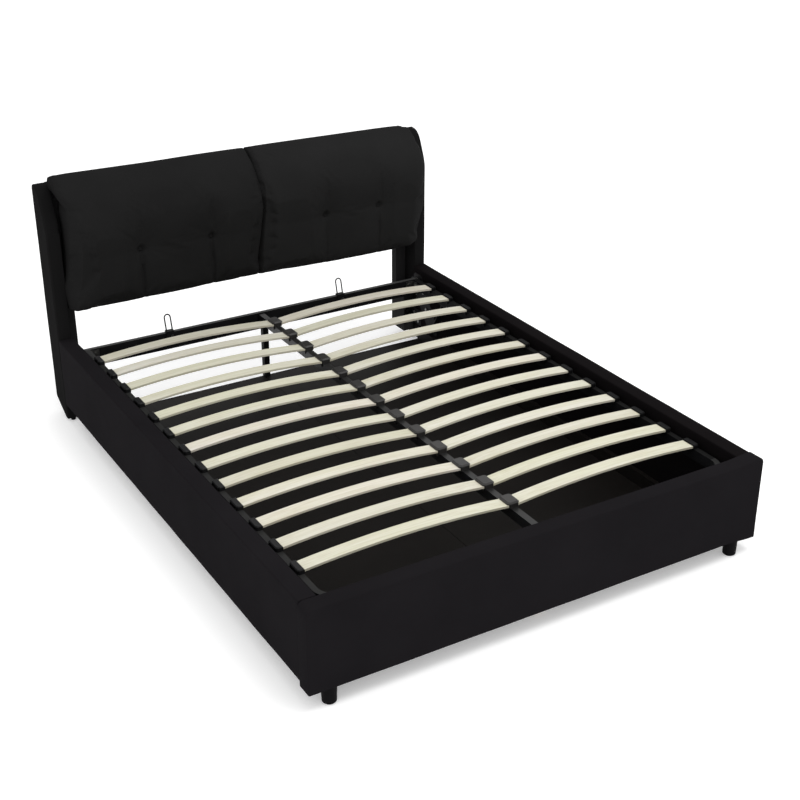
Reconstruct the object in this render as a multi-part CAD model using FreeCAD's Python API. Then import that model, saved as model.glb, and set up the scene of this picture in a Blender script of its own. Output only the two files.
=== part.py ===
import FreeCAD, Part
import math
import os

# Upholstered storage bed for a 1600 x 2000 mm mattress, with a lift-up slatted base.
# Millimetres, +Z up. While building, Y is counted from the front of the footboard towards
# the head, X from the middle. save() moves every piece so that the origin is the middle
# of the footprint on the floor.

os.makedirs("parts", exist_ok=True)
V = FreeCAD.Vector

# Overall sizes
WIDTH = 1728.0
LENGTH = 2306.0
HALF = WIDTH / 2

# Side rails and footboard: a board in a padded cover
RAIL_T = 61.0
RAIL_IN = HALF - RAIL_T
RAIL_BOTTOM = 75.0
RAIL_TOP = 363.0
RAIL_END = 2178.0
RAIL_TOP_R = 5.0
RAIL_BOTTOM_R = 3.0
RAIL_CROWN = 2.0
BOARD_SIDE = 7.0
BOARD_TOP_PAD = 18.0
FOOT_T = 60.0
FOOT_BOTTOM = 63.5
FOOT_CORNER_R = 25.0
FOOT_EDGE = 3.0
FOOT_LOW_R = 6.0
FOOT_PAD = 12.0

# Headboard: two wings, a frame between them and two tufted cushions
WING_T = 54.0
WING_IN = HALF - WING_T
WING_FLOOR = 8.0
WING_BACK_BOTTOM = 66.0
WING_TOP = 988.0
HEAD_TOP = 982.0
WING_EDGE = 3.0
WING_HEEL_Y = 2200.0
WING_SHOULDER = (2238.0, 978.0, 55.0)
WING_NECK_Z = 838.0
WING_NECK_R = 150.0
POST_W = 50.0
POST_FRONT = 2240.0
POST_EDGE_R = 6.0
POST_BOTTOM = 44.0
UPRIGHT_FRONT = 2262.0
UPRIGHT_FOOT_Y = 2190.0
UPRIGHT_FOOT_TOP = 240.0
HEAD_FRAME_LOW = 455.0
HEAD_LOW_RAIL_H = 50.0
HEAD_TOP_RAIL_H = 52.0
BACK_PANEL_T = 6.0
CUSHION_BACK = POST_FRONT - 0.3
CUSHION_GAP = 1.5
CUSHION_END = WING_IN - 2.0
CUSHION_BACK_LOW = 508.0
CUSHION_BACK_HIGH = 1008.0
UNDER_SAG = 7.0
OVER_RISE = 1.0
# Cushion slice, points (y, z) from the lower front edge round the face to the top
FACE_LOW = (2108.0, 503.0)
FACE_LOW_MID = (2093.0, 520.0)
FACE_BELLY = (2086.0, 545.0)
FACE_BELLY_MID = (2074.0, 630.0)
FACE_WAIST_MID = (2057.0, 785.0)
FACE_CROWN = (2051.0, 845.0)
FACE_CROWN_MID = (2064.0, 908.0)
FACE_SHOULDER = (2096.0, 962.0)
FACE_SHOULDER_MID = (2139.0, 1003.0)
FACE_TOP = (2187.0, 1030.0)
TUFT_Z = 718.0
TUFT_FACE = 2066.0
TUFT_PULL = 36.0
TUFT_SPREAD = 46.0
BUTTON_R = 11.0
BUTTON_T = 8.0
BUTTON_GAP = 0.3
BUTTON_EDGE = 3.0
BUTTON_ROOM = 1.5
BUTTON_SIDES = 14
# Distances of the slices from the gap, from the outer end and from each tuft
GAP_SLICES = (0.0, 12.0)
END_SLICES = (0.0, 18.0, 66.0)
TUFT_SLICES = (-70.0, 0.0, 70.0)
# The two cushions differ a little, as in the photograph. Each has its buttons' X, the rounding
# at the gap and at the outer end (reach along X, setback of the face, drop of the top), how much
# less its upper corner is set back, and how far its top is raised and its lower edge hangs down,
# at the gap and at the outer end.
CUSHION_GAP_X = 10.0
LEFT_CUSHION = {
    "inner": CUSHION_GAP_X - CUSHION_GAP,
    "outer": -CUSHION_END,
    "tufts": (-518.0, -214.0),
    "gap_round": (16.0, 16.0, 6.0),
    "end_round": (48.0, 62.0, 8.0),
    "ear": 0.8,
    "raise": (0.0, 9.0),
    "hang": (6.0, 12.0),
}
RIGHT_CUSHION = {
    "inner": CUSHION_GAP_X + CUSHION_GAP,
    "outer": CUSHION_END,
    "tufts": (310.0, 568.0),
    "gap_round": (32.0, 34.0, 12.0),
    "end_round": (90.0, 62.0, 45.0),
    "ear": 0.75,
    "raise": (4.0, -7.0),
    "hang": (13.0, 22.0),
}

# Feet
LEG_X = 787.0
LEG_Y = 30.0
LEG_R_TOP = 25.0
LEG_R_BOTTOM = 23.0
LEG_EDGE = 4.0
LEG_SIDES = 28
GLIDE_R = 10.0
GLIDE_Y = 2189.0
PAD_SIDES = 14

# Storage compartment
FLOOR_T = 5.0
FLOOR_TOP = 30.0
FLOOR_HEAD = 2110.0
FLOOR_CLEAR = 2.0
PLINTH_T = 18.0
PLINTH_LOW = 27.0
PLINTH_TOP = 82.0
LEDGE_W = 16.0
LEDGE_LOW = 17.0
BATTEN_W = 20.0
FLOOR_BEAM_W = 40.0
FLOOR_BEAM_LOW = 7.0
FLOOR_FOOT_R = 16.0
FLOOR_FOOT_Y = (420.0, 980.0, 1540.0, 2090.0)
FLOOR_FOOT_X = 500.0

# Fixed steel at the head and in the corners
PLATE_T = 3.0
PLATE_IN = RAIL_IN - PLATE_T
BEAM_FRONT = 2113.0
BEAM_D = 24.0
BEAM_BOTTOM = 252.0
BEAM_TOP = 285.0
CENTRE_LEG_X = 8.0
CENTRE_LEG_W = 25.0
BRACKET_LEG = 45.0
BRACKET_LOW = 110.0
BRACKET_HIGH = 250.0
BRACKET_BOLT_END = 30.0
JOINT_START = 2104.0
JOINT_Z = (90.0, 162.0)
JOINT_LEG = 41.0
JOINT_BOLT_END = 18.0
JOINT_BOLT_Y = (22.0, 56.0)
REST_X = (700.0, 755.0)
REST_D = 42.0
REST_H = 30.0
REST_GAP = 0.5

# Bolts: hexagon heads standing on the sheet
BOLT_HEAD_R = 7.0
BOLT_HEAD_H = 4.0
BOLT_FROM_EDGE = 17.0

# Lift hinge and gas springs. Both spring ends sit on one circle round the hinge, so the
# spring turns at exactly half the rate of the base and its rod slides along one line.
HINGE_Y = 2142.0
HINGE_Z = 309.0
SPRING_CIRCLE_R = 250.0
SPRING_TOP_ANGLE = 5.0
SPRING_LOW_ANGLE = 55.0
SPRING_X = 791.5
CYLINDER_R = 7.5
CYLINDER_BORE_R = 6.3
CYLINDER_START = 16.0
CYLINDER_END = 194.0
CYLINDER_WALL = 5.0
ROD_R = 3.0
ROD_START = 24.0
PISTON_R = 5.9
PISTON_L = 12.0
RUN_GAP = 0.1
SIDE_PLAY = 1.0
BITE = 2.0
EYE_R = 10.0
EYE_T = 6.0
HEAD_SIDES = 12
SPRING_SIDES = 18
STUD_R = 4.0
STUD_HEAD_R = 6.0
STUD_HEAD_T = 3.0
PIVOT_R = 6.0
PIVOT_COLLAR_R = 10.0
PIVOT_HEAD_R = 9.0
PIVOT_HEAD_T = 3.0
ARM_T = 3.0
ARM_BOLT_Y = (1960.0, 2060.0)
# Outlines of the flat steel parts: corners (y, z, corner radius)
ARM = [
    (1852.0, 326.0, 6.0),
    (2159.0, 326.0, 16.5),
    (2159.0, 292.0, 16.5),
    (1932.0, 292.0, 10.0),
    (1912.0, 268.0, 10.0),
    (1874.0, 268.0, 10.0),
    (1852.0, 291.0, 10.0),
]
LIFT_PLATE = [
    (2168.0, 337.0, 16.0),
    (2110.0, 337.0, 16.0),
    (1968.0, 135.0, 14.0),
    (1968.0, 84.0, 14.0),
    (2032.0, 84.0, 14.0),
    (2168.0, 255.0, 20.0),
]
LIFT_PLATE_BOLTS = ((2084.0, 262.0), (2058.0, 190.0), (2144.0, 242.0))

# Lift-up base: steel tube frame, sprung slats in plastic caps
TUBE_W = 20.0
TUBE_H = 40.0
TUBE_WALL = 2.0
TUBE_TOP = 326.5
CENTRE_TUBE_TOP = 322.5
TUBE_BOTTOM = TUBE_TOP - TUBE_H
TUBE_OUT = 780.0
TUBE_IN = TUBE_OUT - TUBE_W
FOOT_TUBE_Y = 72.0
FOOT_BEND_R = 65.0
FOOT_TUBE_LEG = 140.0
HEAD_TUBE_Y = 2110.0
HEAD_TUBE_D = 18.0
CENTRE_TUBE_W = 25.0
ANGLE_LEG = 38.0
ANGLE_H = 30.0
SLAT_COUNT = 13
SLAT_PITCH = 143.4
SLAT_FIRST_Y = 254.0
SLAT_W = 53.0
SLAT_T = 8.0
SLAT_INNER = 5.0
SLAT_OUTER = 774.0
SLAT_OUTER_Z = 328.5
SLAT_INNER_Z = 324.6
SLAT_RISE = 20.3
CAP_WALL = 4.0
CAP_CLEAR = 0.2
CAP_SLOT_SIDE = 0.5
CAP_SLOT_UNDER = 0.3
CAP_SLOT_H = 10.8
CAP_LIP_DROP = 14.0
CAP_LIP_GAP = 0.3
CAP_LIP_HALF = 20.0
EDGE_CAP = (757.0, 781.0)
EDGE_CAP_TOP = 343.0
EDGE_CAP_LIP = (754.0, 759.6)
EDGE_CAP_CORNER = 6.0
EDGE_CAP_EDGE = 3.0
CENTRE_CAP_HALF = 23.0
CENTRE_CAP_TOP = 344.0
CENTRE_CAP_CORNER = 8.0
CENTRE_CAP_EDGE = 5.0

# Wire mattress stops on the head rail
STOP_X_LEFT = -415.0
STOP_X_RIGHT = 388.0
STOP_WIRE_R = 3.0
STOP_WIRE_SIDES = 8
STOP_BEND_STEPS = 8
STOP_HALF = 13.0
STOP_TOP = 403.0
STOP_LEAN = 14.0
CLAMP_W = 34.0
CLAMP_T = 7.0
CLAMP_FRONT_T = 5.0
CLAMP_DROP = 32.0


def save(shape, name):
    """Moves a piece to the shared origin and writes it."""
    moved = shape.copy()
    moved.translate(V(0, -LENGTH / 2, 0))
    moved.exportStep("parts/%s.step" % name)


def box(x0, x1, y0, y1, z0, z1):
    return Part.makeBox(x1 - x0, y1 - y0, z1 - z0, V(x0, y0, z0))


def mirrored(shape):
    """The same piece on the other side of the bed."""
    return shape.mirror(V(0, 0, 0), V(1, 0, 0))


def save_pair(right, name):
    """Writes a right-hand piece and its mirror image."""
    save(right, name + "_right")
    save(mirrored(right), name + "_left")


def both(shapes):
    """One group of separate solids: the right-hand ones and their mirror images."""
    return Part.Compound(list(shapes) + [mirrored(s) for s in shapes])


def outline(corners, place):
    """A closed wire through corners (u, v, radius), each rounded by a tangent arc."""
    count = len(corners)
    arcs = []
    for i in range(count):
        before = V(corners[i - 1][0], corners[i - 1][1], 0)
        here = V(corners[i][0], corners[i][1], 0)
        after = V(corners[(i + 1) % count][0], corners[(i + 1) % count][1], 0)
        radius = corners[i][2]
        back = (before - here).normalize()
        ahead = (after - here).normalize()
        half_angle = back.getAngle(ahead) / 2
        reach = radius / math.tan(half_angle)
        middle_way = (back + ahead).normalize()
        middle = here + middle_way * (radius / math.sin(half_angle) - radius)
        arcs.append((here + back * reach, middle, here + ahead * reach))
    edges = []
    for i in range(count):
        start, middle, end = arcs[i]
        edges.append(Part.Arc(place(start), place(middle), place(end)).toShape())
        following = arcs[(i + 1) % count][0]
        if end.distanceToPoint(following) > 0.01:
            edges.append(Part.makeLine(place(end), place(following)))
    return Part.Wire(edges)


def plate_yz(corners, x0, x1):
    """A plate cut to an outline in the YZ plane, from x0 to x1."""
    wire = outline(corners, lambda p: V(x0, p.x, p.y))
    return Part.Face(wire).extrude(V(x1 - x0, 0, 0))


def panel_xz(corners, y0, y1):
    """A panel cut to an outline in the XZ plane, from y0 to y1."""
    wire = outline(corners, lambda p: V(p.x, y0, p.y))
    return Part.Face(wire).extrude(V(0, y1 - y0, 0))


def block_xy(points, z0, z1):
    """A block with straight sides through points (x, y), from z0 to z1."""
    corners = [V(x, y, z0) for x, y in points]
    return Part.Face(Part.makePolygon(corners + corners[:1])).extrude(V(0, 0, z1 - z0))


def edges_at(shape, axis, value):
    """The edges of a shape that lie in the plane axis = value."""
    found = []
    for edge in shape.Edges:
        box_of_edge = edge.BoundBox
        low = getattr(box_of_edge, axis + "Min")
        high = getattr(box_of_edge, axis + "Max")
        if abs(low - value) < 0.01 and abs(high - value) < 0.01:
            found.append(edge)
    return found


def rod_x(radius, x0, x1, y, z):
    return Part.makeCylinder(radius, x1 - x0, V(x0, y, z), V(1, 0, 0))


def prism(point, way, radius, length, sides):
    """A straight bar with a regular outline, standing on point along way."""
    side = way.cross(V(0, 0, 1)).normalize()
    up = way.cross(side)
    corners = []
    for i in range(sides):
        turn = 2 * math.pi * i / sides
        corners.append(point + side * (radius * math.cos(turn)) + up * (radius * math.sin(turn)))
    return Part.Face(Part.makePolygon(corners + corners[:1])).extrude(way * length)


def bolt(point, way):
    """A hexagon bolt head standing on point along way."""
    return prism(point, way, BOLT_HEAD_R, BOLT_HEAD_H, 6)


def head_x(radius, x0, x1, y, z):
    """A pin's head or collar lying along X."""
    return prism(V(x0, y, z), V(1, 0, 0), radius, x1 - x0, HEAD_SIDES)


def skin(rings):
    """A solid with flat faces between rings of corners, closed at both ends."""
    outlines = [rings[0], rings[-1]]
    for ring, following in zip(rings, rings[1:]):
        for i in range(len(ring)):
            outlines.append([ring[i - 1], ring[i], following[i], following[i - 1]])
    faces = [Part.Face(Part.makePolygon(corners + corners[:1])) for corners in outlines]
    return Part.Solid(Part.Shell(faces))


def ring_xy(x, y, radius, sides):
    """Points (x, y) of a regular outline round a standing axis."""
    turns = [2 * math.pi * i / sides for i in range(sides)]
    return [(x + radius * math.cos(t), y + radius * math.sin(t)) for t in turns]


# Side rails
def rail_profile():
    """Rail section: flat inside, slightly crowned outside, soft top, small lower edges."""
    y = FOOT_T
    side = HALF - RAIL_CROWN
    low = RAIL_BOTTOM + RAIL_BOTTOM_R
    high = RAIL_TOP - RAIL_TOP_R
    turn = math.sqrt(0.5)
    edges = [
        Part.makeLine(V(RAIL_IN + RAIL_BOTTOM_R, y, RAIL_BOTTOM), V(side - RAIL_BOTTOM_R, y, RAIL_BOTTOM)),
        Part.Arc(
            V(side - RAIL_BOTTOM_R, y, RAIL_BOTTOM),
            V(side - RAIL_BOTTOM_R * (1 - turn), y, low - RAIL_BOTTOM_R * turn),
            V(side, y, low),
        ).toShape(),
        Part.Arc(V(side, y, low), V(HALF, y, (low + high) / 2), V(side, y, high)).toShape(),
        Part.Arc(
            V(side, y, high),
            V(side - RAIL_TOP_R * (1 - turn), y, high + RAIL_TOP_R * turn),
            V(side - RAIL_TOP_R, y, RAIL_TOP),
        ).toShape(),
        Part.makeLine(V(side - RAIL_TOP_R, y, RAIL_TOP), V(RAIL_IN + RAIL_TOP_R, y, RAIL_TOP)),
        Part.Arc(
            V(RAIL_IN + RAIL_TOP_R, y, RAIL_TOP),
            V(RAIL_IN + RAIL_TOP_R * (1 - turn), y, high + RAIL_TOP_R * turn),
            V(RAIL_IN, y, high),
        ).toShape(),
        Part.makeLine(V(RAIL_IN, y, high), V(RAIL_IN, y, low)),
        Part.Arc(
            V(RAIL_IN, y, low),
            V(RAIL_IN + RAIL_BOTTOM_R * (1 - turn), y, low - RAIL_BOTTOM_R * turn),
            V(RAIL_IN + RAIL_BOTTOM_R, y, RAIL_BOTTOM),
        ).toShape(),
    ]
    return Part.Wire(edges)


rail_board = box(
    RAIL_IN + BOARD_SIDE, HALF - BOARD_SIDE - RAIL_CROWN,
    FOOT_T, RAIL_END,
    RAIL_BOTTOM + BOARD_SIDE, RAIL_TOP - BOARD_TOP_PAD,
)
rail_cover = Part.Face(rail_profile()).extrude(V(0, RAIL_END - FOOT_T, 0)).cut(rail_board)
save_pair(rail_board, "side_rail_board")
save_pair(rail_cover, "side_rail_cover")


# Footboard
def foot_panel(inset, y0, y1):
    corner = FOOT_CORNER_R - inset
    low = max(FOOT_LOW_R - inset, 2.0)
    corners = [
        (-HALF + inset, FOOT_BOTTOM + inset, low),
        (HALF - inset, FOOT_BOTTOM + inset, low),
        (HALF - inset, RAIL_TOP - inset, corner),
        (-HALF + inset, RAIL_TOP - inset, corner),
    ]
    return panel_xz(corners, y0, y1)


foot_board = foot_panel(FOOT_PAD, FOOT_PAD, FOOT_T - FOOT_PAD)
foot_pad = foot_panel(0.0, 0.0, FOOT_T)
foot_pad = foot_pad.makeChamfer(FOOT_EDGE, edges_at(foot_pad, "Y", 0.0) + edges_at(foot_pad, "Y", FOOT_T))
save(foot_board, "footboard_board")
save(foot_pad.cut(foot_board), "footboard_cover")

# Headboard wings: straight front edge, swept-back shoulder, heel cut away at the back
wing = plate_yz(
    [
        (RAIL_END, WING_FLOOR, 4.0),
        (WING_HEEL_Y, WING_FLOOR, 12.0),
        (LENGTH, WING_BACK_BOTTOM, 12.0),
        (LENGTH, WING_TOP, 18.0),
        WING_SHOULDER,
        (RAIL_END, WING_NECK_Z, WING_NECK_R),
    ],
    WING_IN, HALF,
)
wing = wing.makeChamfer(WING_EDGE, edges_at(wing, "X", HALF))
save_pair(wing, "headboard_wing")

# Headboard frame behind the cushions
BACK_FACE = LENGTH - BACK_PANEL_T
POST_IN = WING_IN - POST_W
upright = box(POST_IN, WING_IN, UPRIGHT_FRONT, BACK_FACE, POST_BOTTOM, HEAD_TOP - HEAD_TOP_RAIL_H)
upright_foot = box(POST_IN, WING_IN, UPRIGHT_FOOT_Y, UPRIGHT_FRONT, POST_BOTTOM, UPRIGHT_FOOT_TOP)
save_pair(upright.fuse(upright_foot).removeSplitter(), "headboard_upright")
top_rail = box(-WING_IN, WING_IN, POST_FRONT, BACK_FACE, HEAD_TOP - HEAD_TOP_RAIL_H, HEAD_TOP)
long_edges = [e for e in edges_at(top_rail, "Z", HEAD_TOP) if e.BoundBox.XLength > WIDTH / 2]
save(top_rail.makeFillet(POST_EDGE_R, long_edges), "headboard_top_rail")
low_rail = box(
    -POST_IN, POST_IN, POST_FRONT, BACK_FACE,
    HEAD_FRAME_LOW, HEAD_FRAME_LOW + HEAD_LOW_RAIL_H,
)
save(low_rail, "headboard_lower_rail")
save(box(-WING_IN, WING_IN, BACK_FACE, LENGTH, HEAD_FRAME_LOW, HEAD_TOP), "headboard_back_panel")


# Cushions
def rounding(distance, reach):
    """How far a rounded end has fallen away, 1 at the very end and 0 beyond the reach."""
    left = 1 - min(distance, reach) / reach
    return 1 - math.sqrt(max(0.0, 1 - left ** 2))


def cushion_section(x, form):
    """One slice of a cushion: rolled top, crown above the middle, lower half drawn in at tufts."""
    gap_reach, gap_setback, gap_drop = form["gap_round"]
    end_reach, end_setback, end_drop = form["end_round"]
    at_gap = rounding(abs(x - form["inner"]), gap_reach)
    at_end = rounding(abs(x - form["outer"]), end_reach)
    drop = gap_drop * at_gap + end_drop * at_end
    pull = sum(math.exp(-(((x - t) / TUFT_SPREAD) ** 2)) for t in form["tufts"])
    share = (x - form["inner"]) / (form["outer"] - form["inner"])
    raised = form["raise"][0] * (1 - share) + form["raise"][1] * share
    hung = form["hang"][0] * (1 - share) + form["hang"][1] * share

    def level(z):
        """Height z of the shared slice, moved for this place along the cushion."""
        if z > TUFT_Z:
            return z + raised * (z - TUFT_Z) / (FACE_TOP[1] - TUFT_Z)
        return z - hung * (TUFT_Z - z) / (TUFT_Z - FACE_LOW[1])

    def face(point, pulled=0.0, dropped=0.0):
        """A point of the face, pulled in by its share of the tuft and moved by its share of the drop."""
        y, z = point
        height = max(0.0, z - FACE_CROWN[1]) / (FACE_TOP[1] - FACE_CROWN[1])
        setback = gap_setback * at_gap + end_setback * at_end * (1 - form["ear"] * height)
        return V(x, y + setback + TUFT_PULL * pull * pulled, level(z) - drop * dropped)

    back_low = V(x, CUSHION_BACK, level(CUSHION_BACK_LOW) + 0.5 * drop)
    back_high = V(x, CUSHION_BACK, level(CUSHION_BACK_HIGH) - drop)
    low = face(FACE_LOW, 0.35, -0.5)
    belly = face(FACE_BELLY, 0.65, -0.4)
    tuft = face((TUFT_FACE, TUFT_Z), 1.0)
    crown = face(FACE_CROWN, 0.1)
    shoulder = face(FACE_SHOULDER, 0.0, 0.5)
    top = face(FACE_TOP, 0.0, 1.0)
    under = V(x, (CUSHION_BACK + low.y) / 2, low.z - UNDER_SAG)
    over = V(x, (CUSHION_BACK + top.y) / 2, top.z + OVER_RISE)
    edges = [
        Part.Arc(back_low, under, low).toShape(),
        Part.Arc(low, face(FACE_LOW_MID, 0.5, -0.5), belly).toShape(),
        Part.Arc(belly, face(FACE_BELLY_MID, 0.8), tuft).toShape(),
        Part.Arc(tuft, face(FACE_WAIST_MID, 0.45), crown).toShape(),
        Part.Arc(crown, face(FACE_CROWN_MID, 0.0, 0.3), shoulder).toShape(),
        Part.Arc(shoulder, face(FACE_SHOULDER_MID, 0.0, 0.8), top).toShape(),
        Part.Arc(top, over, back_high).toShape(),
        Part.makeLine(back_high, back_low),
    ]
    return Part.Wire(edges)


def cushion(form):
    """Loft through slices, closer together at the ends and at the tufts, seats cut for buttons."""
    side = 1 if form["outer"] > form["inner"] else -1
    stations = [form["inner"] + side * d for d in GAP_SLICES]
    stations += [form["outer"] - side * d for d in END_SLICES]
    for tuft in form["tufts"]:
        stations += [tuft + d for d in TUFT_SLICES]
    body = Part.makeLoft([cushion_section(x, form) for x in sorted(stations)], True, True)
    for tuft in form["tufts"]:
        seat = prism(V(tuft, SEAT_Y, TUFT_Z), OUTWARD, BUTTON_R + BUTTON_ROOM, SEAT_DEPTH, BUTTON_SIDES)
        body = body.cut(seat)
    return body


def button(x):
    disc = prism(V(x, SEAT_Y - BUTTON_GAP, TUFT_Z), OUTWARD, BUTTON_R, BUTTON_T, BUTTON_SIDES)
    return disc.makeChamfer(BUTTON_EDGE, edges_at(disc, "Y", SEAT_Y - BUTTON_GAP - BUTTON_T))


# Flat seat under each button, cut in from the face
OUTWARD = V(0, -1, 0)
SEAT_Y = TUFT_FACE + TUFT_PULL
SEAT_DEPTH = 200.0
save(cushion(LEFT_CUSHION), "headboard_cushion_left")
save(cushion(RIGHT_CUSHION), "headboard_cushion_right")
save(Part.Compound([button(x) for x in LEFT_CUSHION["tufts"] + RIGHT_CUSHION["tufts"]]), "tuft_buttons")

# Feet
leg_rings = []
for radius, z in ((LEG_R_BOTTOM - LEG_EDGE, 0.0), (LEG_R_BOTTOM, LEG_EDGE), (LEG_R_TOP, FOOT_BOTTOM)):
    leg_rings.append([V(x, y, z) for x, y in ring_xy(LEG_X, LEG_Y, radius, LEG_SIDES)])
save_pair(skin(leg_rings), "front_leg")
glide = block_xy(ring_xy(HALF - WING_T / 2, GLIDE_Y, GLIDE_R, PAD_SIDES), 0.0, WING_FLOOR)
save(both([glide]), "head_glides")

# Storage compartment: a low floor between plinth boards, on a beam and battens with pads
FLOOR_LOW = FLOOR_TOP - FLOOR_T
PLINTH_IN = RAIL_IN - PLINTH_T
floor_foot = FOOT_T + PLINTH_T + FLOOR_CLEAR
panel = box(FLOOR_CLEAR / 2, PLINTH_IN - FLOOR_CLEAR, floor_foot, FLOOR_HEAD, FLOOR_LOW, FLOOR_TOP)
save_pair(panel, "storage_floor")
plinth_corners = [
    V(PLINTH_IN, FOOT_T, PLINTH_TOP),
    V(RAIL_IN, FOOT_T, PLINTH_TOP),
    V(RAIL_IN, FOOT_T, PLINTH_LOW),
    V(RAIL_IN - (PLINTH_LOW - LEDGE_LOW), FOOT_T, LEDGE_LOW),
    V(PLINTH_IN - LEDGE_W, FOOT_T, LEDGE_LOW),
    V(PLINTH_IN - LEDGE_W, FOOT_T, FLOOR_LOW),
    V(PLINTH_IN, FOOT_T, FLOOR_LOW),
]
plinth_end = Part.Face(Part.makePolygon(plinth_corners + plinth_corners[:1]))
plinth = plinth_end.extrude(V(0, FLOOR_HEAD - FOOT_T, 0))
save_pair(plinth, "floor_batten")
head_batten = box(
    FLOOR_BEAM_W / 2, PLINTH_IN - LEDGE_W,
    FLOOR_HEAD - BATTEN_W, FLOOR_HEAD, FLOOR_BEAM_LOW, FLOOR_LOW,
)
foot_plinth = box(-PLINTH_IN, PLINTH_IN, FOOT_T, FOOT_T + PLINTH_T, PLINTH_LOW, PLINTH_TOP)
save(Part.Compound([foot_plinth, head_batten, mirrored(head_batten)]), "floor_cross_battens")
floor_beam = box(
    -FLOOR_BEAM_W / 2, FLOOR_BEAM_W / 2,
    floor_foot, FLOOR_HEAD, FLOOR_BEAM_LOW, FLOOR_LOW,
)
save(floor_beam, "floor_centre_beam")
pad_places = [(0.0, y) for y in FLOOR_FOOT_Y]
pad_places += [(x, FLOOR_HEAD - BATTEN_W / 2) for x in (-FLOOR_FOOT_X, FLOOR_FOOT_X)]
pads = [block_xy(ring_xy(x, y, FLOOR_FOOT_R, PAD_SIDES), 0.0, FLOOR_BEAM_LOW) for x, y in pad_places]
save(Part.Compound(pads), "floor_feet")

# Corner brackets at the foot, joining angles at the head, rest blocks for the base
INWARD = V(-1, 0, 0)
bracket = box(PLATE_IN, RAIL_IN, FOOT_T, FOOT_T + BRACKET_LEG, BRACKET_LOW, BRACKET_HIGH)
bracket_foot = box(RAIL_IN - BRACKET_LEG, RAIL_IN, FOOT_T, FOOT_T + PLATE_T, BRACKET_LOW, BRACKET_HIGH)
bracket = bracket.fuse(bracket_foot).removeSplitter()
joint = box(PLATE_IN, RAIL_IN, JOINT_START, UPRIGHT_FOOT_Y, JOINT_Z[0], JOINT_Z[1])
joint_face = UPRIGHT_FOOT_Y - PLATE_T
joint = joint.fuse(box(RAIL_IN - JOINT_LEG, RAIL_IN, joint_face, UPRIGHT_FOOT_Y, JOINT_Z[0], JOINT_Z[1]))
joint = joint.removeSplitter()
rail_bolts = []
for z in (BRACKET_LOW + BRACKET_BOLT_END, BRACKET_HIGH - BRACKET_BOLT_END):
    on_rail = V(PLATE_IN, FOOT_T + BRACKET_LEG - BOLT_FROM_EDGE, z)
    on_foot = V(RAIL_IN - BRACKET_LEG + BOLT_FROM_EDGE, FOOT_T + PLATE_T, z)
    rail_bolts.append(bolt(on_rail, INWARD))
    rail_bolts.append(bolt(on_foot, V(0, 1, 0)))
for z in (JOINT_Z[0] + JOINT_BOLT_END, JOINT_Z[1] - JOINT_BOLT_END):
    rail_bolts.append(bolt(V(RAIL_IN - JOINT_LEG + BOLT_FROM_EDGE, joint_face, z), OUTWARD))
    for y in JOINT_BOLT_Y:
        rail_bolts.append(bolt(V(PLATE_IN, JOINT_START + y, z), INWARD))
save(both([bracket]), "foot_corner_brackets")
save(both([joint]), "head_joint_plates")
rest_top = TUBE_BOTTOM - REST_GAP
rest = box(REST_X[0], REST_X[1], FOOT_T, FOOT_T + REST_D, rest_top - REST_H, rest_top)
save(both([rest]), "base_rest_blocks")

# Cross beam at the head with its centre leg
cross_beam = box(-PLATE_IN, PLATE_IN, BEAM_FRONT, BEAM_FRONT + BEAM_D, BEAM_BOTTOM, BEAM_TOP)
save(cross_beam, "rear_cross_beam")
centre_leg = box(
    CENTRE_LEG_X - CENTRE_LEG_W / 2, CENTRE_LEG_X + CENTRE_LEG_W / 2,
    BEAM_FRONT - CENTRE_LEG_W, BEAM_FRONT,
    FLOOR_TOP, BEAM_TOP,
)
save(centre_leg, "centre_leg")


# Lift hinge: fixed plate, pivot pin and lower spring stud on each rail
def on_circle(angle):
    """A point (y, z) on the circle round the hinge that carries both spring ends."""
    turn = math.radians(angle)
    return HINGE_Y - SPRING_CIRCLE_R * math.cos(turn), HINGE_Z - SPRING_CIRCLE_R * math.sin(turn)


top_y, top_z = on_circle(SPRING_TOP_ANGLE)
low_y, low_z = on_circle(SPRING_LOW_ANGLE)
lift_plate = plate_yz(LIFT_PLATE, PLATE_IN, RAIL_IN)
for y, z in LIFT_PLATE_BOLTS:
    rail_bolts.append(bolt(V(PLATE_IN, y, z), INWARD))
save_pair(lift_plate, "lift_plate")
ARM_IN = TUBE_OUT
ARM_OUT = TUBE_OUT + ARM_T
pin_in = ARM_IN - SIDE_PLAY
pin_out = ARM_OUT + SIDE_PLAY
pivot = head_x(PIVOT_COLLAR_R, pin_out, PLATE_IN, HINGE_Y, HINGE_Z)
pivot = pivot.fuse(rod_x(PIVOT_R, pin_in, pin_out, HINGE_Y, HINGE_Z))
pivot = pivot.fuse(head_x(PIVOT_HEAD_R, pin_in - PIVOT_HEAD_T, pin_in, HINGE_Y, HINGE_Z))
save_pair(pivot.removeSplitter(), "pivot_pin")
eye_in = SPRING_X - EYE_T / 2
eye_out = SPRING_X + EYE_T / 2
stud_in = eye_in - SIDE_PLAY
stud_out = eye_out + SIDE_PLAY
low_stud = head_x(STUD_HEAD_R, stud_out, PLATE_IN, low_y, low_z)
low_stud = low_stud.fuse(rod_x(STUD_R, stud_in, stud_out, low_y, low_z))
low_stud = low_stud.fuse(head_x(STUD_HEAD_R, stud_in - STUD_HEAD_T, stud_in, low_y, low_z))
save(both([low_stud.removeSplitter()]), "spring_studs_lower")
save(both(rail_bolts), "rail_bolts")

# Gas springs
low_end = V(SPRING_X, low_y, low_z)
top_end = V(SPRING_X, top_y, top_z)
along = (top_end - low_end).normalize()
closed_length = low_end.distanceToPoint(top_end)


def spring_rod(radius, start, end):
    """A bar on the spring's line, from start to end as counted from the lower stud."""
    return prism(low_end + along * start, along, radius, end - start, SPRING_SIDES)


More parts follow.
